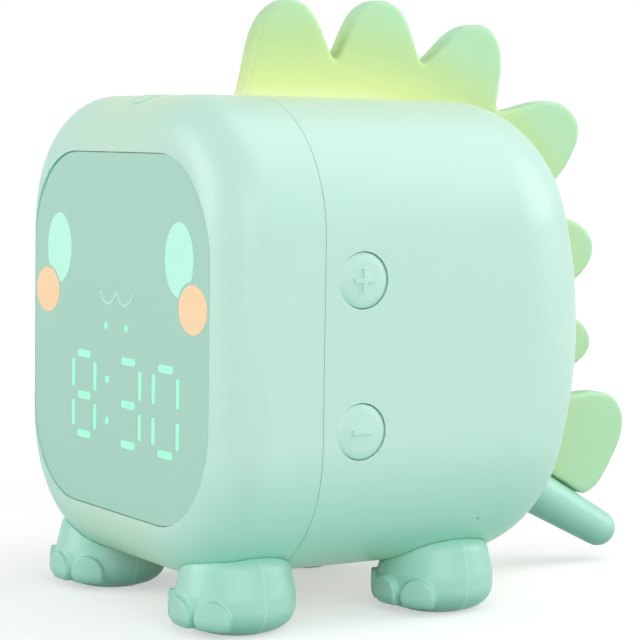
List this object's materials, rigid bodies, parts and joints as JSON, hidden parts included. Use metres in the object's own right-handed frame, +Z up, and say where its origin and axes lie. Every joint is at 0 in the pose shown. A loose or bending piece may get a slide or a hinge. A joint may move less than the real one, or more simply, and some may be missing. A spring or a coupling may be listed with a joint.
{
  "type": "kids alarm clock with night light",
  "caption": "Bedside alarm clock shaped as a small cube-bodied dinosaur: lit face and digits behind a flat panel, glowing crest along the back, side keys, feet and a tail.",
  "frame": {"origin": "middle of the whole clock on the plane it stands on, half way between the front face and the tip of the tail", "axes": "+X to the side with the plus and minus keys, +Y to the tail, +Z up; the face looks along -Y"},
  "size_m": [0.0932, 0.131, 0.1264],
  "materials": {
    "shell": "satin moulded ABS, pale mint",
    "panel": "matt smoked polycarbonate, grey mint",
    "film_eye": "lit translucent ink",
    "film_cheek": "lit translucent ink, peach",
    "white_plastic": "moulded white ABS",
    "diffuser": "lit acrylic",
    "chip": "moulded LED",
    "board": "glass-fibre board",
    "steel": "zinc-plated",
    "foot": "satin moulded ABS, mint",
    "pad": "soft matt",
    "key": "satin moulded ABS, pale mint",
    "dark_plastic": "moulded black nylon",
    "cell": "shrink sleeve",
    "foam": "closed-cell foam",
    "paper": "pressed paper",
    "copper": "copper foil",
    "crest": "translucent silicone, yellow-green at the root"
  },
  "bodies": {
    "root": {"front_shell": "shell", "rear_shell": "shell", "display_panel": "panel", "eye_films": "film_eye", "cheek_films": "film_cheek", "mouth_and_nostril_films": "film_eye", "light_box": "white_plastic", "digit_diffusers": "diffuser", "display_leds": "chip", "display_board": "board", "main_board": "board", "board_spacers": "steel", "board_screws": "steel", "foot_front_left": "foot", "foot_front_right": "foot", "foot_rear_left": "foot", "foot_rear_right": "foot", "foot_pads": "pad", "foot_screws": "steel", "tail": "shell", "tail_screw": "steel", "key_switches": "dark_plastic", "key_board_left": "board", "key_board_right": "board", "key_board_screws": "steel", "rear_board": "board", "rear_board_screws": "steel", "charging_socket": "steel", "slide_switch": "dark_plastic", "battery_cell": "cell", "battery_tray": "white_plastic", "speaker_gasket": "foam", "speaker_frame": "steel", "speaker_cone": "paper", "speaker_magnet": "steel", "microphone": "steel", "touch_foil": "copper", "board_components": "dark_plastic", "crest": "crest", "crest_clamp": "white_plastic", "crest_screws": "steel", "crest_light_board": "board", "crest_leds": "chip", "shell_screws": "steel"},
    "plus_key_body": {"plus_key": "key"},
    "minus_key_body": {"minus_key": "key"},
    "set_key_body": {"set_key": "key"},
    "alarm_key_body": {"alarm_key": "key"},
    "alarm_slider_body": {"alarm_slider": "key"}
  },
  "joints": [
    {"name": "plus_key_press", "type": "slide", "parent": "root", "child": "plus_key_body", "axis": [-1, 0, 0], "range_m": [0, 0.0006], "stiffness_N_per_m": 900, "springref_m": -0.0008},
    {"name": "minus_key_press", "type": "slide", "parent": "root", "child": "minus_key_body", "axis": [-1, 0, 0], "range_m": [0, 0.0006], "stiffness_N_per_m": 900, "springref_m": -0.0008},
    {"name": "set_key_press", "type": "slide", "parent": "root", "child": "set_key_body", "axis": [1, 0, 0], "range_m": [0, 0.0006], "stiffness_N_per_m": 900, "springref_m": -0.0008},
    {"name": "alarm_key_press", "type": "slide", "parent": "root", "child": "alarm_key_body", "axis": [1, 0, 0], "range_m": [0, 0.0006], "stiffness_N_per_m": 900, "springref_m": -0.0008},
    {"name": "alarm_slide", "type": "slide", "parent": "root", "child": "alarm_slider_body", "axis": [1, 0, 0], "range_m": [0, 0.003]}
  ]
}
